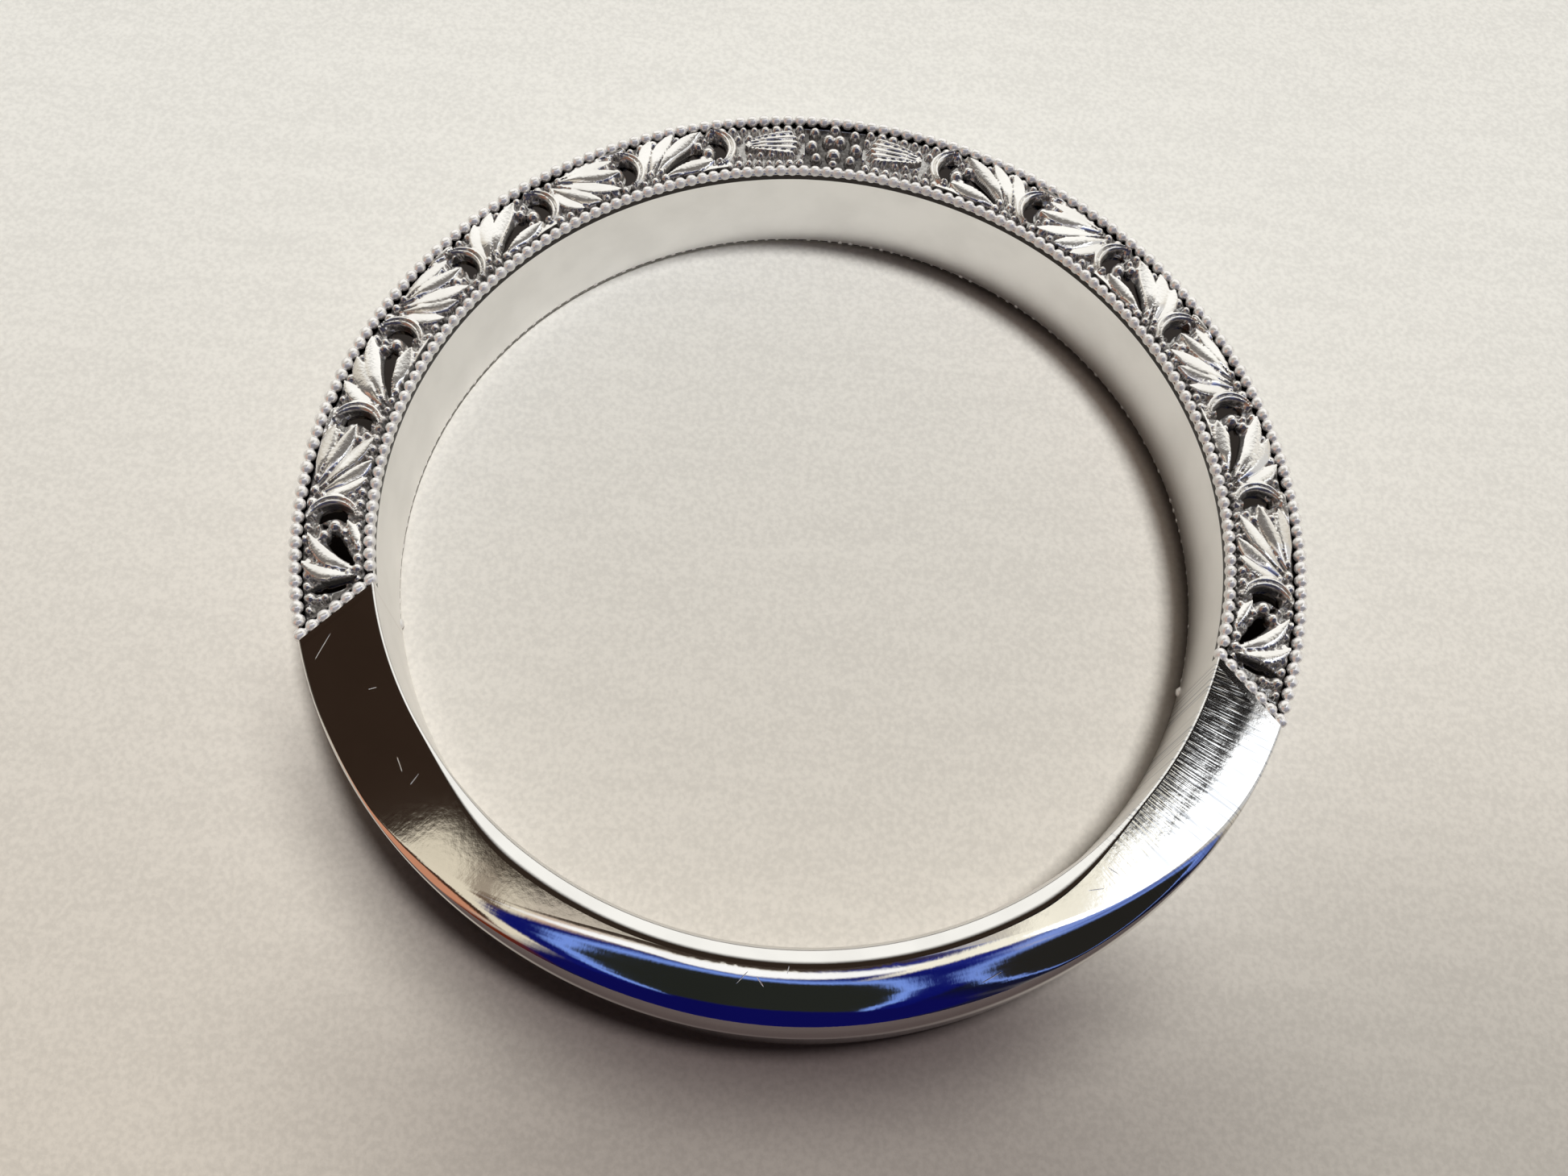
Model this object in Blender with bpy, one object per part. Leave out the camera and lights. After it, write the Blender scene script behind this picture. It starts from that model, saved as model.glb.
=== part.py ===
"""Wedding band: an engraved arch and a plain shank, soldered into one ring and edged with milgrain.

The frame is in metres. +Z runs along the finger hole, the origin is on the hole's axis at half the
band's width, and +Y points to the middle of the engraved arch. Angles named "offset" are measured
from +Y towards -X, so the two ends of the arch have the same offset with opposite signs.
"""

import math

import bmesh
import bpy

MM = 0.001

# Ring
BORE_RADIUS = 8.5 * MM
ARCH_OUTER_RADIUS = 10.05 * MM
SHANK_OUTER_RADIUS = 10.0 * MM
BAND_WIDTH = 2.6 * MM
HALF_WIDTH = BAND_WIDTH / 2
MID_RADIUS = (BORE_RADIUS + ARCH_OUTER_RADIUS) / 2

# Edges of the band's section: both ends of the shank are square, its middle is a low dome
SQUARE_INNER_ROUNDING = 0.12 * MM
DOMED_INNER_ROUNDING = 0.25 * MM
SQUARE_EDGE_ROUNDING = 0.06 * MM
DOMED_EDGE_DEPTH = 1.05 * MM
DOMED_EDGE_SPAN = 0.75 * MM
DOME_STARTS = math.radians(126)
DOME_FULL = math.radians(164)

# The slanting line that ends the engraving on each side
BORDER_OFFSET = math.radians(108.2)
BORDER_LEAN = math.radians(30.7)

# Milgrain: a beaded wire laid in a step along each edge
WIRE_RADIUS = 0.115 * MM
INNER_WIRE = BORE_RADIUS + 0.08 * MM
OUTER_WIRE = ARCH_OUTER_RADIUS - 0.05 * MM
WIRE_HEIGHT = HALF_WIDTH - 0.12 * MM
WIRE_END_ROUNDING = ((-0.95, 0.3), (-0.7, 0.7), (0.0, 1.0), (0.7, 0.7), (0.95, 0.3))
FIT_GAP = 0.015 * MM
SCROLL_LAND_DEPTH = 0.12 * MM

# Solder between the arch and the shank
SEAM_SHIFT = 0.24 * MM
SEAM_THICKNESS = 0.05 * MM
SEAM_GAP = 0.010 * MM

# Mesh resolution
STATION_STEP = math.radians(3)
INNER_EDGE_POINTS = 3
SQUARE_EDGE_POINTS = 3
DOMED_EDGE_POINTS = 8
WIRE_SIDES = 6
CUTTER_OVERSHOOT = 0.30 * MM
SHARP_ON_BAND = math.radians(35)
SHARP_ON_WIRES = math.radians(65)

MIDDLE_OF_ARCH = math.radians(90)
MIDDLE_OF_SHANK = math.radians(270)


def clear_scene():
    for scene_object in list(bpy.data.objects):
        bpy.data.objects.remove(scene_object, do_unlink=True)


def metal(name, colour, roughness):
    """A metal with its own base colour and polish."""
    material = bpy.data.materials.new(name)
    material.use_nodes = True
    shader = material.node_tree.nodes["Principled BSDF"]
    shader.inputs["Base Color"].default_value = (*colour, 1.0)
    shader.inputs["Metallic"].default_value = 1.0
    shader.inputs["Roughness"].default_value = roughness
    return material


def smoothstep(low, high, value):
    share = min(max((value - low) / (high - low), 0.0), 1.0)
    return share * share * (3 - 2 * share)


def border_offset(radius, shift=0.0):
    """Offset angle where a line parallel to the border, moved towards the shank by shift, meets a radius."""
    distance = MID_RADIUS * math.sin(BORDER_LEAN)
    normal = BORDER_OFFSET - (math.pi / 2 - BORDER_LEAN)
    return normal + math.acos((distance - shift) / radius)


def ring_point(radius, angle, height):
    return (radius * math.cos(angle), radius * math.sin(angle), height)


def corner_arc(centre, depth, span, start, points):
    """Points of a quarter ellipse about centre in the (radius, height) plane, anticlockwise from start."""
    arc = []
    for index in range(points):
        angle = start + (math.pi / 2) * index / (points - 1)
        arc.append((centre[0] + depth * math.cos(angle), centre[1] + span * math.sin(angle)))
    return arc


def blend(low, high, share):
    return low + share * (high - low)


def band_section(outer_radius, depth, span, inner_rounding, edge_points):
    """The band's section as (radius, height) points; the outer edges are rounded by depth and span."""
    inner = BORE_RADIUS + inner_rounding
    inner_height = HALF_WIDTH - inner_rounding
    outer = outer_radius - depth
    outer_height = HALF_WIDTH - span
    quarter = math.pi / 2
    section = corner_arc((outer, -outer_height), depth, span, -quarter, edge_points)
    section += corner_arc((outer, outer_height), depth, span, 0.0, edge_points)
    for height, start in ((inner_height, quarter), (-inner_height, 2 * quarter)):
        section += corner_arc((inner, height), inner_rounding, inner_rounding, start, INNER_EDGE_POINTS)
    return section


def square_section():
    edge = SQUARE_EDGE_ROUNDING
    return band_section(ARCH_OUTER_RADIUS, edge, edge, SQUARE_INNER_ROUNDING, SQUARE_EDGE_POINTS)


def shank_section(offset):
    """Square near the arch, a low dome at the back of the finger."""
    dome = smoothstep(DOME_STARTS, DOME_FULL, abs(offset))
    return band_section(
        blend(ARCH_OUTER_RADIUS, SHANK_OUTER_RADIUS, dome),
        blend(SQUARE_EDGE_ROUNDING, DOMED_EDGE_DEPTH, dome),
        blend(SQUARE_EDGE_ROUNDING, DOMED_EDGE_SPAN, dome),
        blend(SQUARE_INNER_ROUNDING, DOMED_INNER_ROUNDING, dome),
        DOMED_EDGE_POINTS,
    )


def wire_section(radius, height):
    """A round wire's section, centred at a radius and a height."""
    section = []
    for index in range(WIRE_SIDES):
        angle = 2 * math.pi * (index + 0.5) / WIRE_SIDES
        section.append((radius + WIRE_RADIUS * math.cos(angle), height + WIRE_RADIUS * math.sin(angle)))
    return section


def loft(name, loops):
    """An object whose mesh joins equal closed loops of 3-D points in order, with flat end caps."""
    work = bmesh.new()
    rings = [[work.verts.new(point) for point in loop] for loop in loops]
    for first, second in zip(rings, rings[1:]):
        for index in range(len(first)):
            following = (index + 1) % len(first)
            work.faces.new((first[index], first[following], second[following], second[index]))
    work.faces.new(reversed(rings[0]))
    work.faces.new(rings[-1])
    bmesh.ops.remove_doubles(work, verts=work.verts, dist=1e-9)
    bmesh.ops.recalc_face_normals(work, faces=work.faces)
    mesh = bpy.data.meshes.new(name)
    work.to_mesh(mesh)
    work.free()
    piece = bpy.data.objects.new(name, mesh)
    bpy.context.collection.objects.link(piece)
    return piece


def stations(span):
    """Evenly spaced shares from -1 to 1 along an arc whose half-length is span."""
    count = 2 * math.ceil(span / STATION_STEP)
    return [2 * index / count - 1 for index in range(count + 1)]


def arch_sweep(name, section, shift=0.0):
    """Sweeps a section along the arch between two lines parallel to the borders."""
    loops = []
    for share in stations(BORDER_OFFSET):
        loop = []
        for radius, height in section:
            angle = MIDDLE_OF_ARCH + share * border_offset(radius, shift)
            loop.append(ring_point(radius, angle, height))
        loops.append(loop)
    return loft(name, loops)


def finish(piece, material, sharp_above=SHARP_ON_BAND):
    """Gives a piece its material and smooth shading that keeps its corners crisp."""
    piece.data.materials.clear()
    piece.data.materials.append(material)
    piece.data.shade_smooth()
    piece.data.set_sharp_from_angle(angle=sharp_above)
    return piece


def cut(piece, cutter):
    """Subtracts a hidden helper from a piece."""
    cutter.hide_render = True
    cutter.display_type = "WIRE"
    modifier = piece.modifiers.new("cut_" + cutter.name, "BOOLEAN")
    modifier.operation = "DIFFERENCE"
    modifier.solver = "EXACT"
    modifier.object = cutter


def recess_section(side):
    """What is cut from one side: a step at each edge for the wires, and a shallower land between them."""
    step = side * (WIRE_HEIGHT - WIRE_RADIUS - FIT_GAP)
    land = side * (HALF_WIDTH - SCROLL_LAND_DEPTH)
    above = side * (HALF_WIDTH + CUTTER_OVERSHOOT)
    inner_wall = INNER_WIRE + WIRE_RADIUS + FIT_GAP
    outer_wall = OUTER_WIRE - WIRE_RADIUS - FIT_GAP
    inside = BORE_RADIUS - CUTTER_OVERSHOOT
    outside = ARCH_OUTER_RADIUS + CUTTER_OVERSHOOT
    return [
        (inside, step),
        (inner_wall, step),
        (inner_wall, land),
        (outer_wall, land),
        (outer_wall, step),
        (outside, step),
        (outside, above),
        (inside, above),
    ]


def border_frame(end):
    """Inner and outer end points of a border's centre line in the XY plane, and the unit vector along it."""
    ends = []
    for radius in (INNER_WIRE, OUTER_WIRE):
        x, y, _ = ring_point(radius, MIDDLE_OF_ARCH + end * border_offset(radius), 0.0)
        ends.append((x, y))
    length = math.dist(*ends)
    along = ((ends[1][0] - ends[0][0]) / length, (ends[1][1] - ends[0][1]) / length)
    return ends[0], along, length


def border_loop(end, distance, section):
    """A loop across a border at a distance along it; section holds (sideways, height) points."""
    start, along, _ = border_frame(end)
    loop = []
    for sideways, height in section:
        x = start[0] + distance * along[0] - sideways * along[1]
        y = start[1] + distance * along[1] + sideways * along[0]
        loop.append((x, y, height))
    return loop


def border_slot(name, end, side):
    """Cutter for the slot that a border's wire lies in."""
    half = WIRE_RADIUS + FIT_GAP
    floor = side * (WIRE_HEIGHT - half)
    above = side * (HALF_WIDTH + CUTTER_OVERSHOOT)
    section = [(-half, floor), (half, floor), (half, above), (-half, above)]
    length = border_frame(end)[2]
    reach = WIRE_RADIUS + CUTTER_OVERSHOOT
    return loft(name, [border_loop(end, distance, section) for distance in (-reach, length + reach)])


def engraved_arch(material):
    arch = arch_sweep("engraved_arch", square_section(), SEAM_SHIFT - SEAM_THICKNESS / 2 - SEAM_GAP)
    for side, side_name in ((1, "upper"), (-1, "lower")):
        cut(arch, arch_sweep(side_name + "_recess_cutter", recess_section(side)))
        for end, end_name in ((1, "left"), (-1, "right")):
            cut(arch, border_slot(f"{side_name}_{end_name}_slot_cutter", end, side))
    return finish(arch, material)


def plain_shank(material):
    shift = SEAM_SHIFT + SEAM_THICKNESS / 2 + SEAM_GAP
    half_length = math.pi - BORDER_OFFSET
    loops = []
    for share in stations(half_length):
        section = shank_section(math.pi - abs(share) * half_length)
        loop = []
        for radius, height in section:
            angle = MIDDLE_OF_SHANK + share * (math.pi - border_offset(radius, shift))
            loop.append(ring_point(radius, angle, height))
        loops.append(loop)
    return finish(loft("plain_shank", loops), material)


def solder_seam(name, end, material):
    loops = []
    for edge in (-1, 1):
        shift = SEAM_SHIFT + edge * SEAM_THICKNESS / 2
        loop = []
        for radius, height in square_section():
            angle = MIDDLE_OF_ARCH + end * border_offset(radius, shift)
            loop.append(ring_point(radius, angle, height))
        loops.append(loop)
    return finish(loft(name, loops), material)


def milgrain_wire(name, radius, side, material):
    """One edge's beaded wire, as the plain wire the beads are rolled from; it stops short of both borders."""
    short = 2 * FIT_GAP + WIRE_RADIUS
    section = wire_section(radius, side * WIRE_HEIGHT)
    return finish(arch_sweep(name, section, -short), material, SHARP_ON_WIRES)


def border_wire(name, end, side, material):
    """One border's beaded wire: a straight round wire with rounded ends."""
    length = border_frame(end)[2]
    loops = []
    round_wire = wire_section(0.0, 0.0)
    for along, width in WIRE_END_ROUNDING:
        section = [(width * across, side * WIRE_HEIGHT + width * rise) for across, rise in round_wire]
        distance = along * WIRE_RADIUS
        if along <= 0.0:
            loops.append(border_loop(end, distance, section))
        if along >= 0.0:
            loops.append(border_loop(end, length + distance, section))
    return finish(loft(name, loops), material, SHARP_ON_WIRES)


def build():
    clear_scene()
    engraved = metal("engraved_metal", (0.70, 0.69, 0.67), 0.22)
    polished = metal("polished_metal", (0.78, 0.77, 0.75), 0.06)
    beaded = metal("beaded_metal", (0.74, 0.73, 0.71), 0.15)
    solder = metal("solder_metal", (0.66, 0.64, 0.61), 0.25)

    engraved_arch(engraved)
    plain_shank(polished)
    for end, end_name in ((1, "left"), (-1, "right")):
        solder_seam(end_name + "_solder_seam", end, solder)
    for side, side_name in ((1, "upper"), (-1, "lower")):
        milgrain_wire(side_name + "_inner_milgrain", INNER_WIRE, side, beaded)
        milgrain_wire(side_name + "_outer_milgrain", OUTER_WIRE, side, beaded)
        for end, end_name in ((1, "left"), (-1, "right")):
            border_wire(f"{side_name}_{end_name}_border", end, side, beaded)


build()
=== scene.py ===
"""Looks of the wedding band: bright-cut scrollwork, rolled milgrain beads and a mirror-polished shank.

Shapes are worked out in millimetres in the frame's own axes (+Z along the finger hole, +Y towards the
middle of the engraved arch) and written to the meshes in metres. "Offset" is an angle from +Y.
"""

import math

import bpy
import numpy as np
from mathutils import Matrix, Vector

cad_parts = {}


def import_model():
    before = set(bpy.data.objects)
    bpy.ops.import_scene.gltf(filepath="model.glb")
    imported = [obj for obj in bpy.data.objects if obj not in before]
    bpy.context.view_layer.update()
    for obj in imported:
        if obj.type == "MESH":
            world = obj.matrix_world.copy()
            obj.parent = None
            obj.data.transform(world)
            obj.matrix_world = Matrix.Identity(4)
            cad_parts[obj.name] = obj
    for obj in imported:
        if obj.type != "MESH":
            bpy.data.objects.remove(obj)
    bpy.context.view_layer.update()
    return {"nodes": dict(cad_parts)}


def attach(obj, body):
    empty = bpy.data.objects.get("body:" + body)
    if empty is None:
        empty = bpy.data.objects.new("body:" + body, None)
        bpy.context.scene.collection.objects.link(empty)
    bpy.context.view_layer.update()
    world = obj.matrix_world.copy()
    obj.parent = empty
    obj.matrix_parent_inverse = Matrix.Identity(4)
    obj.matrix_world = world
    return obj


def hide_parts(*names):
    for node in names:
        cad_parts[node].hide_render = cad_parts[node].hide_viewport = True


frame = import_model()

MM = 0.001


# ---- sizes read from the frame

def node_points(node):
    """A CAD node's vertices in millimetres."""
    return np.array([vertex.co for vertex in frame["nodes"][node].data.vertices]) / MM


def radii(node):
    """Distances of a CAD node's vertices from the axis of the finger hole."""
    points = node_points(node)
    return np.hypot(points[:, 0], points[:, 1])


def wire_line(node):
    """Radius of the centre line of a wire that runs round the band."""
    distances = radii(node)
    return (distances.max() + distances.min()) / 2


HALF_WIDTH = node_points("plain_shank")[:, 2].max()
BORE_RADIUS = radii("plain_shank").min()
OUTER_RADIUS = radii("engraved_arch").max()
SHANK_OUTER_RADIUS = -node_points("plain_shank")[:, 1].min()
MID_RADIUS = (BORE_RADIUS + OUTER_RADIUS) / 2
INNER_WIRE = wire_line("upper_inner_milgrain")
OUTER_WIRE = wire_line("upper_outer_milgrain")
WIRE_HEIGHTS = node_points("upper_inner_milgrain")[:, 2]
WIRE_RADIUS = np.ptp(WIRE_HEIGHTS) / 2
WIRE_HEIGHT = WIRE_RADIUS + WIRE_HEIGHTS.min()


def border_line():
    """Distance from the axis, and direction from +Y, of the left border's centre line."""
    points = node_points("upper_left_border")[:, :2]
    middle = points.mean(axis=0)
    along = np.linalg.svd(points - middle, full_matrices=False)[2][0]
    normal = np.array([-along[1], along[0]])
    distance = normal @ middle
    if distance < 0:
        normal, distance = -normal, -distance
    return distance, math.atan2(-normal[0], normal[1])


BORDER_DISTANCE, BORDER_NORMAL = border_line()


# ---- driving dimensions of the looks (mm)

STEP_FLOOR = 1.05  # height of the ledge that the beads lie on
LEDGE_INSET = 0.01  # the ledge starts this far beside the lips
LIP = 0.07  # width of the lips beside the ledge
LIP_HEIGHT = 1.16
LOWER_INNER_LIP_HEIGHT = 1.24
UPPER_BEAD_SHADOW = (0.13, 0.18)  # painted shadow: the dark line under the inner beads ends between these depths
LOWER_BEAD_SHADOW = (0.02, 0.03)  # the same painted shadow on the side that lies on the sheet
LOWER_INNER_SHIFT = 0.035  # the lower inner beads sit this much further back
SLOT_HALF = 0.13  # half width of the slot under a border's beads
ARCH_STATIONS = 421

# Where pieces end: distances from a border's centre line, positive towards the shank
WIRE_END_SHIFT = -0.145
ARCH_END_SHIFT = 0.2135
SEAM_SHIFTS = (0.2145, 0.2655)
SHANK_END_SHIFT = 0.2665

SQUARE_EDGE = 0.06  # radius of the edges where the band is square
SQUARE_INNER_EDGE = 0.06
EDGE_POINTS = 8
FLAT_GUARD = 0.015  # extra points this share in from both ends keep the flats flat
DOME_DEPTH = 1.25
DOME_SPAN = 0.75
DOME_INNER_EDGE = 0.25
DOME_INNER_REACH = 0.40  # the inner edge rounds off this far into the side
DOME_POINTS = 18
DOME_INNER_POINTS = 12
DOME_LEFT = (math.radians(128), math.radians(168))  # offsets between which the dome fades in
DOME_RIGHT = (math.radians(112), math.radians(164))
INNER_EDGE_RANGE = (math.radians(128), math.radians(148))  # the same for the rounder inner edge
SHANK_STATIONS = 361

INNER_BEADS = 122
OUTER_BEADS = 139
BORDER_BEAD_PITCH = 0.24
BEAD_FILL = 0.485  # bead radius as a share of the pitch
BEAD_NECK = 0.05  # least radius between two beads
BEAD_SIDES = 14
BEAD_RINGS = 9
BEAD_REACH = math.radians(78)  # a bead's rings lie within this angle of its middle
BEAD_SPREAD = 0.04  # how unevenly the wheel has rolled them
BEAD_DRIFT = 0.01  # shift along the row, as a share of the pitch
BEAD_LIFT = 0.03  # shift up or down, as a share of the bead's radius
BEAD_SHARP = 80  # edges above this many degrees stay sharp

SCROLL_GAP = 0.0075  # between the scrollwork and the wires beside it
SCROLL_INNER = INNER_WIRE + WIRE_RADIUS + SCROLL_GAP
SCROLL_OUTER = OUTER_WIRE - WIRE_RADIUS - SCROLL_GAP
SCROLL_HEIGHT = SCROLL_OUTER - SCROLL_INNER
SCROLL_STATIONS = 1700
SCROLL_ROWS = 50
SCROLL_SHARP = 50  # as BEAD_SHARP
SCROLL_RIM = 0.025  # the ground falls towards the ledge within this width of both edges
SCROLL_RIM_HEIGHT = STEP_FLOOR + 0.02
SCROLL_SUNK = 0.005  # its plate is let into the ledge by this much

GROUND = 1.09  # the ground between the leaves
CREST = 1.288  # no cut metal stands above this
DEEPEST = 0.96  # floor of the scooped hooks

# The pattern repeats in units, from the middle of the arch towards each border
UNITS = 7
HOOK_PITCH = 2.150
FIRST_HOOK = 2.515
ROOT_LAG = 0.20  # a root starts this far short of the hook before it
LAST_ROOT = 16.78
BEFORE_HOOK = 0.5  # a unit is cut from this far before its hook ...
AFTER_HOOK = 0.9  # ... to this far past it for the hook itself ...
AFTER_ROOT = 0.6  # ... and to this far past its root for the leaves

LEAF_WALL = 0.20  # share of a leaf's half width that its steep side takes
LEAF_CROWN = 0.16  # how much lower a leaf's edges are than its middle
LEAF_START = 0.62  # share of the lift that a leaf has at its root
LEAF_CLIMB = 0.45  # share of its length over which it gains the rest
SCOOP_STEEPNESS = 1.8

# Leaves of one unit: (root, tip, bend, half width, lift, tilt); root and tip are shares of the unit's reach
# along the band and of the scrollwork's height across it
LEAVES = (
    ((0.00, 0.10), (0.24, 0.99), 0.10, 0.175, 0.170, 0.10),
    ((0.03, 0.10), (0.50, 1.00), 0.09, 0.195, 0.180, -0.12),
    ((0.08, 0.10), (0.77, 0.92), 0.08, 0.195, 0.185, 0.12),
    ((0.14, 0.07), (0.86, 0.20), 0.02, 0.180, 0.180, 0.12),
    ((0.62, 0.05), (1.02, 0.06), -0.03, 0.130, 0.165, -0.10),
)
MIDDLE_LEAF = ((0.12, 0.10), (0.88, 0.56), 0.05, 0.195, 0.190, -0.10)
MIDDLE_HOLLOW = ((0.20, 0.16), (0.90, 0.56), 0.06, 0.155)
HOLLOW_FULLNESS = 1.3
TIP_WOBBLE = np.array((0.05, 0.03))  # how unevenly the leaves are cut
BEND_WOBBLE = 0.15
WIDTH_WOBBLE = 0.10

HOOK_SETBACK = 0.30  # a hook's centre lies this far short of the unit's reach
HOOK_RISE = 0.52  # and at this share of the height
STEM = (0.490, 0.130, 1.45)  # (radius, half width, opening) of the stem over a hook
STEM_LIFT = 0.195
STEM_GROOVE = 0.30  # depth of the groove along the stem, as a share of the lift
STEM_GROOVE_WIDTH = 0.16
HALF_MOON = (0.262, 0.135, 1.42)  # the same three for the deep half moon
HALF_MOON_SHIFT = 0.02
HALF_MOON_STEEPNESS = 2.2
HOOK_BALLS = (
    # (along and across from the hook's centre, radius, lift, unevenness across, unevenness of the radius)
    (-0.06, -0.04, 0.155, 0.190, 0.03, 0.0),
    (-0.25, 0.15, 0.125, 0.180, 0.0, 0.015),
    (-0.22, -0.24, 0.105, 0.170, 0.0, 0.015),
)

# Beside a border, with along in mm from the last root: (root, tip, bend, half width, lift, tilt, fullness)
END_LEAVES = (
    ((-0.10, 0.12), (0.30, 1.02), 0.16, 0.175, 0.190, 0.08, 1.15),
    ((-0.02, 0.09), (0.86, 0.90), 0.16, 0.185, 0.190, 0.08, 1.05),
)
END_SCOOPS = (
    # (root, tip, bend, half width, fullness)
    ((0.10, 0.16), (1.08, 0.70), 0.00, 0.165, 1.1),
    ((-0.18, 0.10), (-0.32, 0.92), 0.03, 0.105, 1.0),
)
END_LOW_LEAF = ((0.28, 0.05), (1.10, 0.26), -0.05, 0.125, 0.170, 0.10, 1.6)
END_BALLS = ((-0.46, 0.88, 0.125), (-0.68, 0.95, 0.110), (-0.50, 0.64, 0.100), (0.74, 0.96, 0.110))
END_BALL_LIFT = 0.17

SHELL_ROOT = 2.02  # distance from the middle of the arch
SHELL_RISE = 0.52  # the shell's axis is at this share of the height
SHELL_LOBES = 5
SHELL_LENGTH = 1.30
SHELL_HALF_WIDTH = 0.41
SHELL_SPREAD = 0.45  # below 1, it widens fast near the root
SHELL_SCALLOP = 0.12  # depth of the notches between lobes, as a share of the length
SHELL_ROUNDING = 0.14  # how much shorter the outer lobes are
SHELL_FLUTE = 0.22  # depth of the flutes, as a share of the lift
SHELL_LIFT = 0.19
SHELL_END_WALL = 0.10
SHELL_SIDE_WALL = 0.12
SHELL_ROOT_DIP = 0.20  # how much lower the shell starts
SHELL_CLIMB = 0.4  # share of its length over which it rises

MIDDLE_GROUND = 1.055
MIDDLE_REACH = 0.66  # the sunk ground around the middle balls ends here
MIDDLE_BALL_LIFT = 0.19
MIDDLE_BALLS = (
    # (along, share of the height, radius)
    (0.02, 0.34, 0.160), (0.12, 0.68, 0.150), (0.40, 0.22, 0.135), (0.44, 0.84, 0.125), (0.50, 0.52, 0.150),
    (0.02, 0.92, 0.110), (0.02, 0.08, 0.105),
)

DOT_ROWS = (
    # (place across, radius, pitch)
    (0.110, 0.108, 0.250), (0.320, 0.085, 0.240),
    (SCROLL_HEIGHT - 0.320, 0.085, 0.240), (SCROLL_HEIGHT - 0.110, 0.108, 0.250),
)
DOT_LIFT = 0.15
DOT_DRIFT = 0.030  # how unevenly the dots are punched: along, across and in size
DOT_SINK = 0.022
DOT_SPREAD = 0.18


# ---- small helpers

def smoothstep(low, high, value):
    """0 below low, 1 above high and a soft step between them."""
    share = np.clip((value - low) / (high - low), 0.0, 1.0)
    return share * share * (3 - 2 * share)


def blend(low, high, share):
    """The value that lies at a share of the way from low to high."""
    return low + share * (high - low)


def border_offset(radius, shift=0.0):
    """Offset where a line parallel to the border, moved towards the shank by shift, meets a radius."""
    return BORDER_NORMAL + np.arccos((BORDER_DISTANCE - shift) / radius)


def ring_points(radius, angle, height):
    """Points at a radius and height; the angle is from +X."""
    radius, angle, height = np.broadcast_arrays(radius, angle, height)
    return np.stack([radius * np.cos(angle), radius * np.sin(angle), height], axis=-1)


def new_piece(name, points, faces, material, sharp_above=35):
    """An object from points in millimetres; it rides on the ring and takes its finish from a slot."""
    mesh = bpy.data.meshes.new(name)
    mesh.from_pydata((np.asarray(points, float) * MM).tolist(), [], faces)
    mesh.validate()
    mesh.materials.append(material)
    mesh.shade_smooth()
    mesh.set_sharp_from_angle(angle=math.radians(sharp_above))
    piece = bpy.data.objects.new(name, mesh)
    bpy.context.collection.objects.link(piece)
    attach(piece, "root")
    return piece


def set_depth(piece, values):
    """Gives each vertex the share from which the material paints shade: 0 in the deepest cuts, 1 on the
    surface.
    """
    depth = piece.data.attributes.new("depth", "FLOAT", "POINT")
    depth.data.foreach_set("value", np.asarray(values, np.float32))


def tube_faces(loops, points_each):
    """Quads between equal closed loops, and a cap on each end."""
    faces = []
    for loop in range(loops - 1):
        start = loop * points_each
        for index in range(points_each):
            following = (index + 1) % points_each
            faces.append((start + index, start + following,
                          start + points_each + following, start + points_each + index))
    faces.append(tuple(reversed(range(points_each))))
    last = (loops - 1) * points_each
    faces.append(tuple(range(last, last + points_each)))
    return faces


def flipped(faces):
    """The same faces, turned to face the other way."""
    return [tuple(reversed(face)) for face in faces]


# ---- sections of the band

def corner_arc(centre, depth, span, start, points):
    """A quarter ellipse about centre in the (radius, height) plane, anticlockwise from start."""
    angle = start + np.linspace(0, math.pi / 2, points)
    return np.stack([centre[0] + depth * np.cos(angle), centre[1] + span * np.sin(angle)], axis=-1)


def band_section(outer_radius, depth, span, inner_edge, inner_reach):
    """The band's section as (radius, height) points.

    The outer edges are quarter ellipses of radial depth and upright span, the inner ones of inner_reach and
    inner_edge.
    """
    quarter = math.pi / 2
    outer = outer_radius - depth
    inner = BORE_RADIUS + inner_reach
    outer_height = HALF_WIDTH - span
    inner_height = HALF_WIDTH - inner_edge
    arcs = [
        corner_arc((outer, -outer_height), depth, span, -quarter, DOME_POINTS),
        corner_arc((outer, outer_height), depth, span, 0.0, DOME_POINTS),
        corner_arc((inner, inner_height), inner_reach, inner_edge, quarter, DOME_INNER_POINTS),
        corner_arc((inner, -inner_height), inner_reach, inner_edge, 2 * quarter, DOME_INNER_POINTS),
    ]
    parts = []
    for arc, following in zip(arcs, arcs[1:] + arcs[:1]):
        flat = following[0] - arc[-1]
        parts += [arc, [arc[-1] + FLAT_GUARD * flat, following[0] - FLAT_GUARD * flat]]
    return np.concatenate(parts)


def shank_section(offset, dome_range):
    """Square near the arch, a low dome at the back of the finger."""
    dome = float(smoothstep(*dome_range, offset))
    rim = float(smoothstep(*INNER_EDGE_RANGE, offset))
    return band_section(
        blend(OUTER_RADIUS, SHANK_OUTER_RADIUS, dome),
        blend(SQUARE_EDGE, DOME_DEPTH - (DOME_INNER_REACH - DOME_INNER_EDGE), dome),
        blend(SQUARE_EDGE, DOME_SPAN, dome),
        blend(SQUARE_INNER_EDGE, DOME_INNER_EDGE, rim),
        blend(SQUARE_INNER_EDGE, DOME_INNER_REACH, rim),
    )


# ---- the shank, the seams and the arch's body

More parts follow.
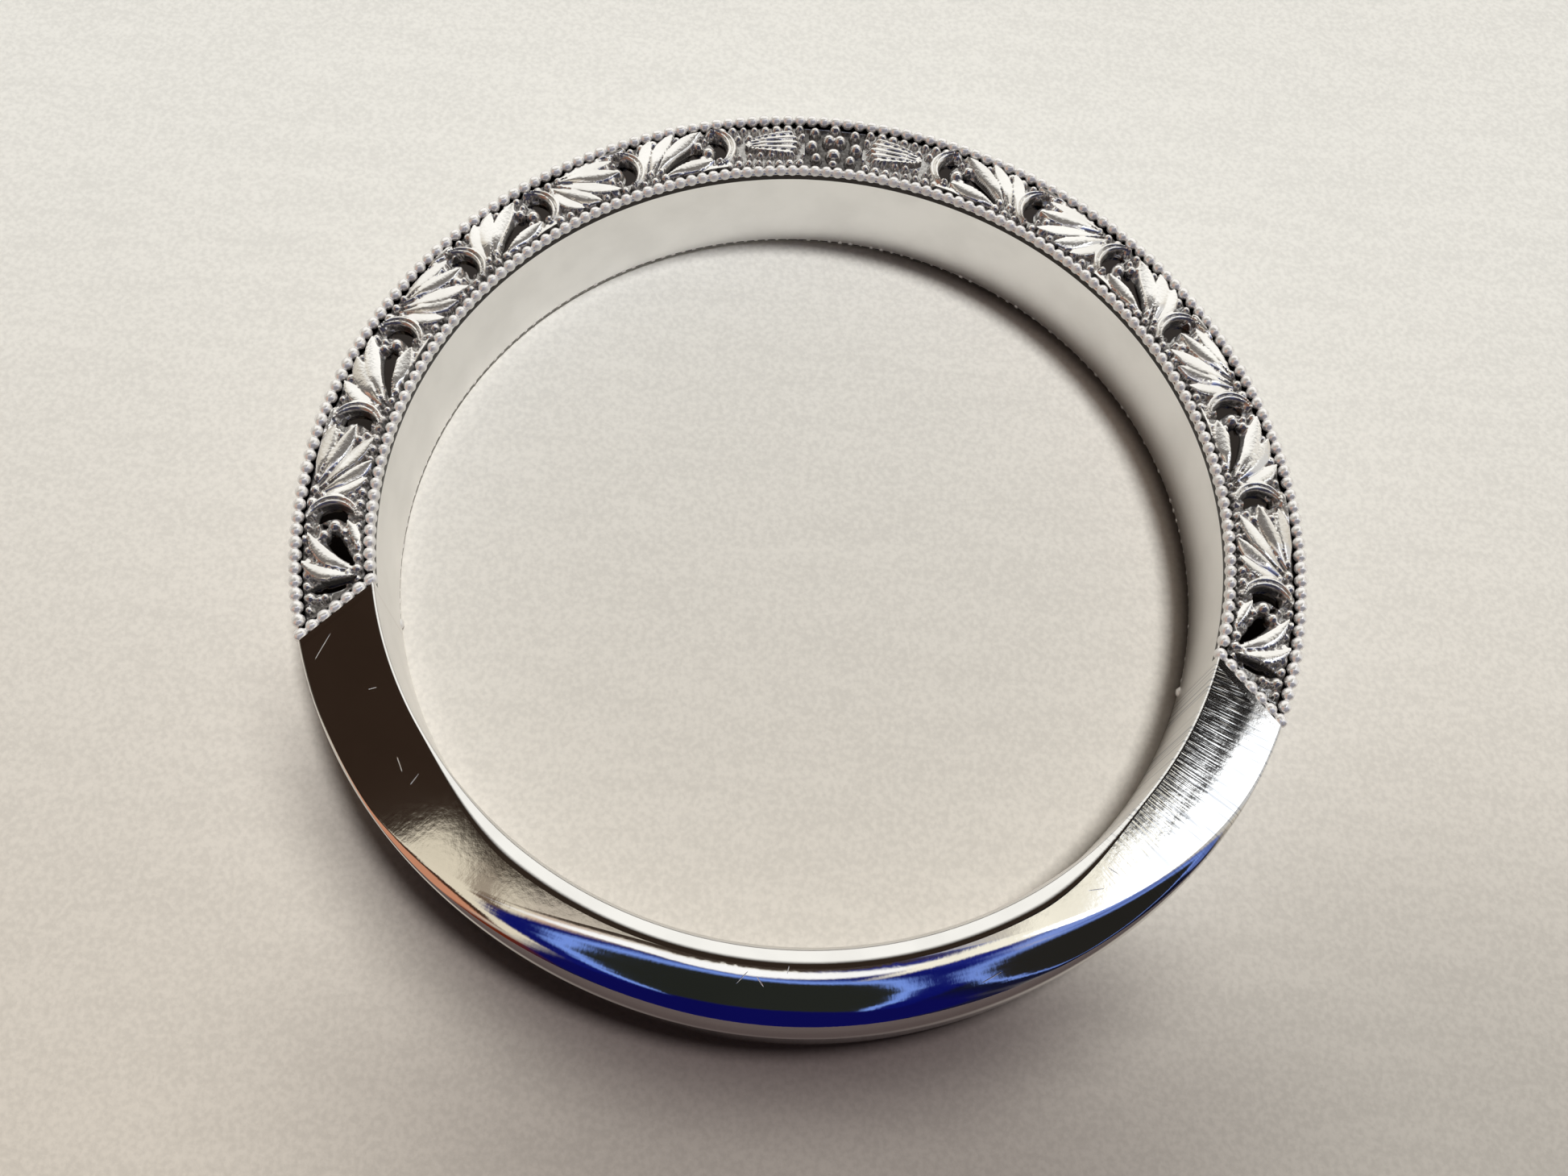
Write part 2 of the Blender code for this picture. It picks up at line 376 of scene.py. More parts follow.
def plain_shank(material):
    """The polished lower part, from one seam round the back to the other."""
    half_length = math.pi - float(border_offset(MID_RADIUS))
    loops = []
    for share in np.linspace(-1, 1, SHANK_STATIONS):
        section = shank_section(math.pi - abs(share) * half_length, DOME_LEFT if share < 0 else DOME_RIGHT)
        angle = 1.5 * math.pi + share * (math.pi - border_offset(section[:, 0], SHANK_END_SHIFT))
        loops.append(ring_points(section[:, 0], angle, section[:, 1]))
    points = np.concatenate(loops)
    piece = new_piece("polished_shank", points, flipped(tube_faces(SHANK_STATIONS, len(loops[0]))),
                      material)
    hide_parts("plain_shank")


def solder_seam(end, end_name, material):
    """The thin slice between the arch and the shank; end is 1 on the left and -1 on the right."""
    section = band_section(OUTER_RADIUS, SQUARE_EDGE, SQUARE_EDGE, SQUARE_INNER_EDGE, SQUARE_INNER_EDGE)
    loops = []
    for shift in np.linspace(*SEAM_SHIFTS, 4):
        angle = math.pi / 2 + end * border_offset(section[:, 0], shift)
        loops.append(ring_points(section[:, 0], angle, section[:, 1]))
    faces = tube_faces(len(loops), len(section))
    piece = new_piece(f"{end_name}_seam", np.concatenate(loops), flipped(faces) if end > 0 else faces,
                      material)
    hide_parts(f"{end_name}_solder_seam")


def recessed_section(full):
    """The arch's section: a sunk ledge on each side between two lips; full gives the flat end lands."""
    outer_edge, inner_edge = (SQUARE_EDGE, SQUARE_INNER_EDGE) if full else (LIP / 2, LIP / 2)
    ledge = HALF_WIDTH if full else STEP_FLOOR
    quarter = math.pi / 2
    parts = []
    for side, outer_lip, inner_lip in ((-1, LIP_HEIGHT, LOWER_INNER_LIP_HEIGHT), (1, LIP_HEIGHT, LIP_HEIGHT)):
        if full:
            outer_lip = inner_lip = HALF_WIDTH
        outer = corner_arc((OUTER_RADIUS - outer_edge, side * (outer_lip - outer_edge)),
                           outer_edge, outer_edge, -quarter if side < 0 else 0.0, EDGE_POINTS)
        inner = corner_arc((BORE_RADIUS + inner_edge, side * (inner_lip - inner_edge)),
                           inner_edge, inner_edge, quarter if side > 0 else 2 * quarter, EDGE_POINTS)
        outer_step = np.array([[OUTER_RADIUS - outer_edge - LEDGE_INSET, side * ledge]])
        inner_step = np.array([[BORE_RADIUS + inner_edge + LEDGE_INSET, side * ledge]])
        # points on the flat bore wall where the painted shadow line under the beads ends
        lines = side * (inner_lip - inner_edge - np.array(UPPER_BEAD_SHADOW if side > 0 else LOWER_BEAD_SHADOW))
        shadow_line = np.stack([np.full(2, BORE_RADIUS), lines], axis=-1)
        if side < 0:
            parts += [shadow_line[::-1], inner, inner_step, outer_step, outer]
        else:
            parts += [outer, outer_step, inner_step, inner, shadow_line]
    return np.concatenate(parts)


def arch_body(material):
    """The arch without its decoration: full height at both ends, ledges between them."""
    stations = [(-1.0, ARCH_END_SHIFT, True), (-1.0, SLOT_HALF, True)]
    stations += [(share, SLOT_HALF, False) for share in np.linspace(-1, 1, ARCH_STATIONS)]
    stations += [(1.0, SLOT_HALF, True), (1.0, ARCH_END_SHIFT, True)]
    loops = []
    for share, shift, full in stations:
        section = recessed_section(full)
        angle = math.pi / 2 + share * border_offset(section[:, 0], shift)
        loops.append(ring_points(section[:, 0], angle, section[:, 1]))
    points = np.concatenate(loops)
    piece = new_piece("arch_body", points, flipped(tube_faces(len(loops), len(loops[0]))),
                      material)
    height = np.abs(points[:, 2])
    recessed = np.repeat([not full for _, _, full in stations], len(loops[0]))
    # painted shadow: the ledge and a line on the bore under the beads get depth 0, so the material paints
    # them dark
    lowest = np.where(points[:, 2] < 0, LOWER_INNER_LIP_HEIGHT - np.mean(LOWER_BEAD_SHADOW),
                      LIP_HEIGHT - np.mean(UPPER_BEAD_SHADOW)) - LIP / 2
    on_bore = np.isclose(np.hypot(points[:, 0], points[:, 1]), BORE_RADIUS)
    shadow_under_beads = recessed & on_bore & (height > lowest)
    set_depth(piece, np.where(np.isclose(height, STEP_FLOOR) | shadow_under_beads, 0.0, 1.0))
    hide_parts("engraved_arch")


# ---- milgrain

def beaded_wire(name, centres, sideways, along, beads, pitch, rng, material):
    """A wire rolled into beads. centres(s) and sideways(s) give its line and side direction at length s."""
    radius = BEAD_FILL * pitch * (1 + BEAD_SPREAD * rng.uniform(-1, 1, beads))
    place = along + pitch * (np.arange(beads) - (beads - 1) / 2)
    place = place + BEAD_DRIFT * pitch * rng.uniform(-1, 1, beads)
    lift = BEAD_LIFT * radius * rng.uniform(-1, 1, beads)
    swell = np.linspace(-BEAD_REACH, BEAD_REACH, BEAD_RINGS)
    length, width, rise = [], [], []
    for bead in range(beads):
        length.extend(place[bead] + radius[bead] * np.sin(swell))
        width.extend(np.maximum(radius[bead] * np.cos(swell), BEAD_NECK))
        rise.extend([lift[bead]] * len(swell))
    length, width, rise = np.array(length), np.array(width), np.array(rise)
    around = 2 * math.pi * np.arange(BEAD_SIDES) / BEAD_SIDES
    middle = centres(length)
    middle[:, 2] += rise
    thickness = np.minimum(width, WIRE_RADIUS - np.abs(rise))
    points = (middle[:, None, :]
              + (width[:, None] * np.cos(around))[..., None] * sideways(length)[:, None, :]
              + (thickness[:, None] * np.sin(around))[..., None] * np.array([0.0, 0.0, 1.0]))
    faces = tube_faces(len(length), BEAD_SIDES)
    return new_piece(name, points.reshape(-1, 3), faces, material, BEAD_SHARP)


def milgrain_row(name, radius, beads, side, rng, material):
    """A row of beads round the arch."""
    half_angle = float(border_offset(radius, WIRE_END_SHIFT))
    pitch = 2 * half_angle * radius / beads

    def centres(length):
        return ring_points(radius, math.pi / 2 + length / radius, side * WIRE_HEIGHT)

    def sideways(length):
        return ring_points(1.0, math.pi / 2 + length / radius, 0.0)

    return beaded_wire(name, centres, sideways, 0.0, beads, pitch, rng, material)


def border_row(name, end, side, rng, material):
    """The short oblique row that closes the engraving at one end."""
    start, finish = [ring_points(radius, math.pi / 2 + end * border_offset(radius), side * WIRE_HEIGHT)
                     for radius in (INNER_WIRE, OUTER_WIRE)]
    length = np.linalg.norm(finish - start)
    line = (finish - start) / length
    across = np.array([line[1], -line[0], 0.0])
    beads = int(length / BORDER_BEAD_PITCH) + 1
    pitch = length / (beads - 1)

    def centres(distance):
        return start + np.outer(distance, line)

    def sideways(distance):
        return np.repeat(across[None, :], len(distance), axis=0)

    return beaded_wire(name, centres, sideways, length / 2, beads, pitch, rng, material)


# ---- scrollwork: cut shapes in (along, across)

def lens_field(along, across, root, tip, bend, half_width, fullness):
    """Signed position across a bent lens, -1 to 1 inside it, and the share of the way from root to tip."""
    dx, dy = tip[0] - root[0], tip[1] - root[1]
    length = math.hypot(dx, dy)
    px, py = along - root[0], across - root[1]
    share = (px * dx + py * dy) / length ** 2
    sideways = (py * dx - px * dy) / length - 4 * bend * share * (1 - share)
    safe = np.clip(share, 1e-3, 1 - 1e-3)
    half = half_width * np.sin(math.pi * safe ** fullness) ** 0.7
    inside = (share > 0) & (share < 1)
    return np.where(inside, sideways / np.maximum(half, 1e-4), 9.0), safe


def leaf(ground, along, across, root, tip, bend, half_width, lift, tilt, fullness=1.6):
    """Raises a pointed lobe, rounded at its far end, with steep sides and a broad, slightly crowned facet."""
    position, share = lens_field(along, across, root, tip, bend, half_width, fullness)
    wall = smoothstep(0.0, LEAF_WALL, 1 - np.abs(position))
    facet = 1 - LEAF_CROWN * position ** 2 + tilt * np.clip(position, -1, 1)
    climb = LEAF_START + (1 - LEAF_START) * smoothstep(0.0, LEAF_CLIMB, share)
    height = GROUND + lift * wall * facet * climb
    return np.where(np.abs(position) < 1, np.maximum(ground, height), ground)


def scoop(ground, along, across, root, tip, bend, half_width, fullness):
    """Cuts a lens-shaped hollow with a V floor."""
    position, _ = lens_field(along, across, root, tip, bend, half_width, fullness)
    cut = np.clip(1 - np.abs(position), 0, 1)
    floor = ground - (ground - DEEPEST) * np.minimum(1, SCOOP_STEEPNESS * cut)
    return np.where(np.abs(position) < 1, floor, ground)


def crescent_field(along, across, centre, radius, half_width, opening):
    """Position across a C-shaped band about a centre, open towards -along beyond an angle of opening."""
    x, y = along - centre[0], across - centre[1]
    distance = np.hypot(x, y)
    around = np.arctan2(y, x)
    window = np.cos(np.clip(around / opening, -1, 1) * math.pi / 2) ** 0.6
    position = (distance - radius) / np.maximum(half_width * window, 1e-4)
    return np.where(np.abs(around) < opening, position, 9.0)


def ball(ground, along, across, centre, radius, lift):
    """Raises a round grain."""
    distance = np.hypot(along - centre[0], across - centre[1]) / radius
    cap = np.sqrt(np.clip(1 - distance ** 2, 0, 1))
    return np.where(distance < 1, np.maximum(ground, GROUND + lift * cap), ground)


def scaled(point, reach=1.0):
    """Millimetres along and across from shares of a reach and of the scrollwork's height."""
    return point[0] * reach, point[1] * SCROLL_HEIGHT


def scroll_unit(ground, along, across, reach, hollow, rng):
    """One leaf fan: the root lies at along 0, and the hook it reaches for lies at along = reach."""
    for root, tip, bend, half_width, lift, tilt in LEAVES if hollow else (*LEAVES, MIDDLE_LEAF):
        wobble = rng.uniform(-1, 1, 4)
        end = scaled(tip, reach) + TIP_WOBBLE * wobble[:2]
        ground = leaf(ground, along, across, scaled(root, reach), end, bend * (1 + BEND_WOBBLE * wobble[2]),
                      half_width * (1 + WIDTH_WOBBLE * wobble[3]), lift, tilt)
    if hollow:
        root, tip, bend, half_width = MIDDLE_HOLLOW
        ground = scoop(ground, along, across, scaled(root, reach), scaled(tip, reach), bend, half_width,
                       HOLLOW_FULLNESS)
    return ground


def scroll_hook(ground, along, across, reach, rng):
    """The curled head of a unit: a deep half moon around a ball, and the next unit's stem over it."""
    centre = (reach - HOOK_SETBACK, HOOK_RISE * SCROLL_HEIGHT)
    stem = crescent_field(along, across, centre, *STEM)
    groove = 1 - STEM_GROOVE * np.exp(-(stem / STEM_GROOVE_WIDTH) ** 2)
    rise = GROUND + STEM_LIFT * np.clip(1 - stem ** 4, 0, 1) ** 0.5 * groove
    ground = np.where(np.abs(stem) < 1, np.maximum(ground, rise), ground)
    hook = crescent_field(along, across, (centre[0] - HALF_MOON_SHIFT, centre[1]), *HALF_MOON)
    cut = np.clip(HALF_MOON_STEEPNESS * (1 - np.abs(hook)), 0, 1)
    ground = np.where(np.abs(hook) < 1, ground - (ground - DEEPEST) * cut, ground)
    for (x, y, radius, lift, sway, spread), wobble in zip(HOOK_BALLS, rng.uniform(-1, 1, 4)):
        place = (centre[0] + x, centre[1] + y + sway * wobble)
        ground = ball(ground, along, across, place, radius + spread * wobble, lift)
    return ground


def end_fan(ground, along, across):
    """Closes the pattern beside a border: two broad crescents, the hollow above them and the scoop below."""
    for root, tip, *shape in END_LEAVES:
        ground = leaf(ground, along, across, scaled(root), scaled(tip), *shape)
    for root, tip, *shape in END_SCOOPS:
        ground = scoop(ground, along, across, scaled(root), scaled(tip), *shape)
    root, tip, *shape = END_LOW_LEAF
    ground = leaf(ground, along, across, scaled(root), scaled(tip), *shape)
    for place, share, radius in END_BALLS:
        ground = ball(ground, along, across, scaled((place, share)), radius, END_BALL_LIFT)
    return ground


def shell(ground, along, across):
    """The fluted shell beside the middle of the arch: lobes that spread from one root to a scalloped end."""
    share = np.clip(along / SHELL_LENGTH, 1e-3, 1.0)
    turn = (across - SHELL_RISE * SCROLL_HEIGHT) / (SHELL_HALF_WIDTH * share ** SHELL_SPREAD)
    lobe = np.abs(np.cos(math.pi / 2 * SHELL_LOBES * turn + (SHELL_LOBES - 1) * math.pi / 2))
    reach = (1 - SHELL_SCALLOP * (1 - lobe ** 0.6)) * (1 - SHELL_ROUNDING * turn ** 2)
    flute = 1 - SHELL_FLUTE * (1 - lobe ** 0.5)
    edge = (smoothstep(0.0, SHELL_END_WALL, reach - along / SHELL_LENGTH)
            * smoothstep(0.0, SHELL_SIDE_WALL, 1 - np.abs(turn)))
    climb = 1 - SHELL_ROOT_DIP * (1 - smoothstep(0.0, SHELL_CLIMB, share))
    inside = (along > 0) & (np.abs(turn) < 1) & (along < reach * SHELL_LENGTH)
    return np.where(inside, np.maximum(ground, GROUND + SHELL_LIFT * flute * edge * climb), ground)


def dotted_ground(ground, along, across):
    """Punched grains of uneven size along both edges of the scrollwork."""
    for row, (place, radius, pitch) in enumerate(DOT_ROWS):
        column = np.round(along / pitch)
        drift = DOT_DRIFT * np.sin(column * 12.9898 + row * 4.1)
        sink = DOT_SINK * np.sin(column * 7.233 + row * 1.7)
        size = radius * (1 + DOT_SPREAD * np.sin(column * 5.17 + row * 2.3))
        distance = np.hypot(along - column * pitch - drift, across - place - sink) / size
        cap = GROUND + DOT_LIFT * np.sqrt(np.clip(1 - distance ** 2, 0, 1))
        ground = np.where(distance < 1, np.maximum(ground, cap), ground)
    return ground


def unit_places(unit):
    """Distances of a unit's hook and root from the middle of the arch."""
    hook = FIRST_HOOK + HOOK_PITCH * unit
    return hook, LAST_ROOT if unit == UNITS - 1 else hook + HOOK_PITCH - ROOT_LAG


def relief_height(offset, radius):
    """Height of the cut side at an offset from the arch's middle and a radius."""
    along_arch = np.abs(offset) * MID_RADIUS
    rise = radius - SCROLL_INNER
    rng = np.random.default_rng(11)
    ground = dotted_ground(np.full(along_arch.shape, GROUND), along_arch, rise)
    for unit in range(UNITS):
        hook, root = unit_places(unit)
        near = np.nonzero((along_arch > hook - BEFORE_HOOK) & (along_arch < root + AFTER_ROOT))
        along = root - along_arch[near]
        across = rise[near] if unit % 2 == 0 else SCROLL_HEIGHT - rise[near]
        if unit == UNITS - 1:
            ground[near] = end_fan(ground[near], along, across)
        else:
            ground[near] = scroll_unit(ground[near], along, across, root - hook, unit % 2 == 0, rng)
    for unit in range(UNITS):
        hook, root = unit_places(unit)
        near = np.nonzero((along_arch > hook - BEFORE_HOOK) & (along_arch < hook + AFTER_HOOK))
        across = rise[near] if unit % 2 == 0 else SCROLL_HEIGHT - rise[near]
        ground[near] = scroll_hook(ground[near], root - along_arch[near], across, root - hook, rng)
    middle = np.nonzero(along_arch < FIRST_HOOK)
    along, across, part = along_arch[middle], rise[middle], ground[middle]
    part = np.where(along < MIDDLE_REACH, np.minimum(part, MIDDLE_GROUND), part)
    part = shell(part, SHELL_ROOT - along, across)
    for place, share, radius in MIDDLE_BALLS:
        part = ball(part, along, across, scaled((place, share)), radius, MIDDLE_BALL_LIFT)
    ground[middle] = part
    edge = np.minimum(rise, SCROLL_HEIGHT - rise)
    ground = blend(SCROLL_RIM_HEIGHT, ground, smoothstep(0.0, SCROLL_RIM, edge))
    return np.minimum(ground, CREST)


def scrollwork(name, side, material):
    """One side's cut band, as a thin closed plate that lies on the arch's body."""
    share = np.linspace(-1, 1, SCROLL_STATIONS)[:, None]
    radius = np.linspace(SCROLL_INNER, SCROLL_OUTER, SCROLL_ROWS)[None, :]
    offset = share * border_offset(radius, WIRE_END_SHIFT)
    height = relief_height(offset, np.broadcast_to(radius, offset.shape).copy())
    top = ring_points(radius, math.pi / 2 + offset, side * height)
    floor = STEP_FLOOR - SCROLL_SUNK
    edges = ring_points(radius[:, [0, -1]], math.pi / 2 + offset[:, [0, -1]], side * floor * np.ones((1, 2)))
    points = np.concatenate([top.reshape(-1, 3), edges.reshape(-1, 3)])
    rows, base = SCROLL_ROWS, SCROLL_STATIONS * SCROLL_ROWS
    faces = []
    for station in range(SCROLL_STATIONS - 1):
        here, there = station * rows, (station + 1) * rows
        low, low_next = base + 2 * station, base + 2 * station + 2
        for row in range(rows - 1):
            faces.append((here + row, there + row, there + row + 1, here + row + 1))
        faces.append((low, low_next, there, here))
        faces.append((here + rows - 1, there + rows - 1, low_next + 1, low + 1))
        faces.append((low + 1, low_next + 1, low_next, low))
    last_top = (SCROLL_STATIONS - 1) * rows
    last_low = base + 2 * (SCROLL_STATIONS - 1)
    faces.append((*range(rows), base + 1, base))
    faces.append((last_low, last_low + 1, *reversed(range(last_top, last_top + rows))))
    if side > 0:
        faces = flipped(faces)
    piece = new_piece(name, points, faces, material, SCROLL_SHARP)
    values = np.concatenate([height.ravel(), np.full(edges.size // 3, floor)])
    set_depth(piece, (values - DEEPEST) / (CREST - DEEPEST))


# ---- materials

class Nodes:
    """Adds and links shader nodes in a few words."""

    def __init__(self, tree):
        self.tree = tree

    def put(self, socket, value):
        """Links a socket to a value, or sets it where the value is a plain one."""
        if isinstance(value, bpy.types.NodeSocket):
            self.tree.links.new(value, socket)
        else:
            socket.default_value = value

    def add(self, kind, **inputs):
        node = self.tree.nodes.new(kind)
        for name, value in inputs.items():
            self.put(node.inputs[name], value)
        return node

    def math(self, operation, first, second=0.0):
        node = self.tree.nodes.new("ShaderNodeMath")
        node.operation = operation
        self.put(node.inputs[0], first)
        self.put(node.inputs[1], second)
        return node.outputs[0]

    def product(self, first, *others):
        """The values multiplied together."""
        for other in others:
            first = self.math("MULTIPLY", first, other)
        return first

    def vector(self, operation, first, second=(0.0, 0.0, 0.0)):
        node = self.tree.nodes.new("ShaderNodeVectorMath")
        node.operation = operation
        self.put(node.inputs[0], first)
        self.put(node.inputs["Scale" if operation == "SCALE" else 1], second)
        return node.outputs["Value" if operation in ("DOT_PRODUCT", "LENGTH") else 0]

    def length(self, vector):
        return self.vector("LENGTH", vector)

    def axes(self, vector):
        """The vector's x, y and z."""
        return self.add("ShaderNodeSeparateXYZ", Vector=vector).outputs

    def mix(self, share, first, second):
        node = self.tree.nodes.new("ShaderNodeMix")
        node.data_type = "RGBA"
        self.put(node.inputs["Factor"], share)
        self.put(node.inputs[6], first)
        self.put(node.inputs[7], second)
        return node.outputs[2]

    def ramp(self, value, low, high, start=0.0, end=1.0):
        """A soft step from start, where the value is low, to end, where it is high."""
        node = self.tree.nodes.new("ShaderNodeMapRange")
        node.interpolation_type = "SMOOTHSTEP"
        for socket, item in zip(node.inputs, (value, low, high, start, end)):
            self.put(socket, item)
        return node.outputs[0]

    def fitted(self, vector, centre, turn, half_sizes):
        """The vector in the own axes of an ellipse, where the ellipse is a circle of radius 1."""
        node = self.tree.nodes.new("ShaderNodeMapping")
        node.vector_type = "TEXTURE"
        self.put(node.inputs["Vector"], vector)
        self.put(node.inputs["Location"], (*centre, 0.0))
        self.put(node.inputs["Rotation"], (0.0, 0.0, turn))
        self.put(node.inputs["Scale"], half_sizes)
        return node.outputs[0]

    def noise(self, vector, scale, detail=3.0):
        return self.add("ShaderNodeTexNoise", Vector=vector, Scale=scale, Detail=detail).outputs[0]

    def object_mm(self):
        """Object coordinates in millimetres."""
        return self.vector("SCALE", self.add("ShaderNodeTexCoord").outputs["Object"], 1 / MM)

    def axis_distance(self, place):
        """Distance from the axis of the finger hole."""
        return self.length(self.vector("MULTIPLY", place, (1.0, 1.0, 0.0)))

    def bump(self, shader, height):
        """Bends the shader's normal by a height in millimetres."""
        dent = self.add("ShaderNodeBump", Strength=1.0, Distance=MM, Height=height)
        self.put(shader.inputs["Normal"], dent.outputs[0])


BLOTCH_SCALE = 0.9
BLOTCH_RANGE = (0.35, 0.70)
ROUGHNESS_RANGE = (0.75, 0.50)  # least roughness, and what the grain adds, as shares of the metal's own
# painted shade in the relief's recesses, on the ledge under the beads and in a line on the bore below them
RECESS_SHADE = (0.035, 0.030, 0.028, 1)
RECESS_RANGE = (0.30, 0.66)  # depths between which the painted shade of the recesses ends
RECESS_GRAIN = 0.15
CUT_RANGE = (-0.30, 0.05)  # mirrored directions, by their y, between which the painted shade of the cuts ends
BORE_SATIN = 0.30  # roughness that the finger hole has above the rest
BORE_SATIN_RANGE = (0.005, 0.03)  # it ends between these depths
SCRATCH_HALF_WIDTH = 0.009
SCRATCH_DEPTH = 0.003
SCRATCH_HAZE = 0.30
SCRATCHES = (
    # (angle from +Y in degrees, radius, length, turn of the scratch in degrees)
    (113, 9.62, 0.62, 72), (120, 8.98, 0.16, 20), (130, 9.15, 0.34, 118), (132.5, 9.08, 0.26, 62),
    (177, 9.12, 0.30, 50), (179, 9.15, 0.22, 130), (182, 8.92, 0.14, 80),
    (204, 9.56, 0.46, 32), (219, 9.10, 0.30, 12), (222, 9.02, 0.22, 150),
)
BRUSH_PITCH = 0.050
BRUSH_RADIAL_SCALE = 0.9
BRUSH_DEPTH = 0.0030
FAINT_BRUSH_DEPTH = 0.00012
BRUSHED_TO = math.radians(128)  # offsets between which the brushing on the right fades out
BRUSHED_FROM = math.radians(142)
BRUSHED_DEPTHS = (0.55, 0.95)  # the deeper brushing fades out between these distances from the hole
STREAK_GREY = (0.34, 0.36, 0.40, 1)
STREAK_RANGE = (0.50, 0.68)
STREAK_SHARE = 0.6

# painted shade: the sheet's tone turns darker and warmer towards the viewer
PAPER_NEAR = (0.70, 0.65, 0.58, 1)
PAPER_FAR = (0.90, 0.905, 0.87, 1)
PAPER_ROUGHNESS = 0.85
PAPER_RANGE = (-18.0, 14.0)  # y between which the near tone turns into the far one
PAPER_GRAIN_HEIGHT = 0.012
PAPER_STREAK_HEIGHT = 0.008
PAPER_SPECKLE = (0.92, 1.04)  # darkest and lightest grain
PAPER_SHADES = (
    # soft shade of the viewer on the sheet: (centre, half sizes, strength, colour)
    ((13.0, -12.5), (14.0, 11.0), 0.34, (0.16, 0.17, 0.18, 1)),
    ((0.9, -11.4), (13.0, 6.2), 0.60, (0.105, 0.080, 0.085, 1)),
)
SHADE_STRENGTH = 0.85  # of the next two
RING_SHADE = (0.055, 0.036, 0.040, 1)  # on the sheet beside the ring
RING_SHADE_WIDTH = 2.4
RING_SHADE_SIDE = (-0.20, -0.98)
FOOT_SHADE = (0.050, 0.034, 0.024, 1)  # inside the band, at the foot of the bore
FOOT_SHADE_WIDTH = 0.42
FOOT_SHADE_SIDE = (math.cos(math.radians(32)), math.sin(math.radians(32)))
HOLE_DIMMING = 0.10  # painted shade: the sheet inside the band is this much darker
MIRRORED_PAPER = (0.095, 0.072, 0.072, 1)  # painted shade that only reflections show: how dark the sheet before the ring looks in the polished shank
MIRRORED_PAPER_SHARE = 0.95


def new_material(name):
    """A new material, its nodes and its Principled shader."""
    material = bpy.data.materials.new(name)
    material.use_nodes = True
    return material, Nodes(material.node_tree), material.node_tree.nodes["Principled BSDF"]


def straight_scratch(nodes, place, angle, radius, length, turn):
    """1 along one short straight scratch on the side of the band, 0 elsewhere."""
    centre = (-radius * math.sin(angle), radius * math.cos(angle))
    local = nodes.fitted(place, centre, turn, (length / 2, SCRATCH_HALF_WIDTH, 100.0))
    return nodes.ramp(nodes.length(local), 0.6, 1.0, 1.0, 0.0)


def wear(nodes, place):
    """Where the polished metal is scratched, how deep its scratches are, and where brushing greys it."""
    scratch = 0.0
    for angle, radius, length, turn in SCRATCHES:
        mark = straight_scratch(nodes, place, math.radians(angle), radius, length, math.radians(turn))
        scratch = nodes.math("MAXIMUM", scratch, mark)
    x, y, _ = nodes.axes(place)
    radius = nodes.axis_distance(place)
    offset = nodes.math("ARCTAN2", x, y)
    around = nodes.product(offset, MID_RADIUS / BRUSH_PITCH)
    polar = nodes.add("ShaderNodeCombineXYZ", X=around, Y=nodes.product(radius, BRUSH_RADIAL_SCALE))
    brushed = nodes.noise(polar.outputs[0], 1.0, 2.0)
    right = nodes.ramp(x, 0.0, 1.0)
    near_arch = nodes.product(nodes.ramp(offset, BRUSHED_TO, BRUSHED_FROM, 1.0, 0.0), right)
    inner = nodes.ramp(radius, *[BORE_RADIUS + depth for depth in BRUSHED_DEPTHS], 1.0, 0.0)
    brush_depth = nodes.math("ADD", nodes.product(inner, near_arch, BRUSH_DEPTH), FAINT_BRUSH_DEPTH)
    groove = nodes.math("ADD", nodes.product(scratch, SCRATCH_DEPTH), nodes.product(brushed, brush_depth))
    return scratch, groove, nodes.product(nodes.ramp(brushed, *STREAK_RANGE), near_arch)


def metal(name, colour, shade, roughness, grain, bump, relief=False, worn=False, painted_cut_shade=None, matt=0.0):
    """A metal with blotchy colour and polish, a fine grain and a satin bore.

    Relief gets painted shade in its recesses and worn metal its scratches. Fine cuts get a painted shade
    where they mirror the viewer's side of the room, and matt is the share of light that they scatter.
    """
    material, nodes, shader = new_material(name)
    place = nodes.object_mm()
    fine = nodes.noise(place, grain)
    blotch = nodes.ramp(nodes.noise(place, BLOTCH_SCALE, 4.0), *BLOTCH_RANGE)
    tone = nodes.mix(blotch, (*colour, 1), (*shade, 1))
    if relief:
        depth = nodes.tree.nodes.new("ShaderNodeAttribute")
        depth.attribute_name = "depth"
        # painted shade: the recesses turn dark by their depth share
        reach = nodes.math("ADD", depth.outputs["Fac"], nodes.product(fine, RECESS_GRAIN))
        tone = nodes.mix(nodes.ramp(reach, *RECESS_RANGE), RECESS_SHADE, tone)
    # painted shade: fine cuts darken where they mirror the viewer's side, standing in for the viewer's shadow
    # in the reflection
    if painted_cut_shade:
        mirrored = nodes.axes(nodes.add("ShaderNodeTexCoord").outputs["Reflection"])
        tone = nodes.mix(nodes.ramp(mirrored[1], *CUT_RANGE), (*painted_cut_shade, 1), tone)
    least, spread = ROUGHNESS_RANGE
    rough = nodes.math("ADD", nodes.product(fine, roughness * spread), roughness * least)
    bore_range = [BORE_RADIUS + depth for depth in BORE_SATIN_RANGE]
    rough = nodes.math("ADD", rough, nodes.ramp(nodes.axis_distance(place), *bore_range, BORE_SATIN, 0.0))
    height = nodes.product(fine, bump)
    if worn:
        scratch, groove, streak = wear(nodes, place)
        tone = nodes.mix(nodes.product(streak, STREAK_SHARE), tone, STREAK_GREY)
        rough = nodes.math("ADD", rough, nodes.product(scratch, SCRATCH_HAZE))
        height = nodes.math("SUBTRACT", height, groove)
    nodes.put(shader.inputs["Base Color"], tone)
    nodes.put(shader.inputs["Metallic"], 1.0 - matt)
    nodes.put(shader.inputs["Roughness"], rough)
    nodes.bump(shader, height)
    return material


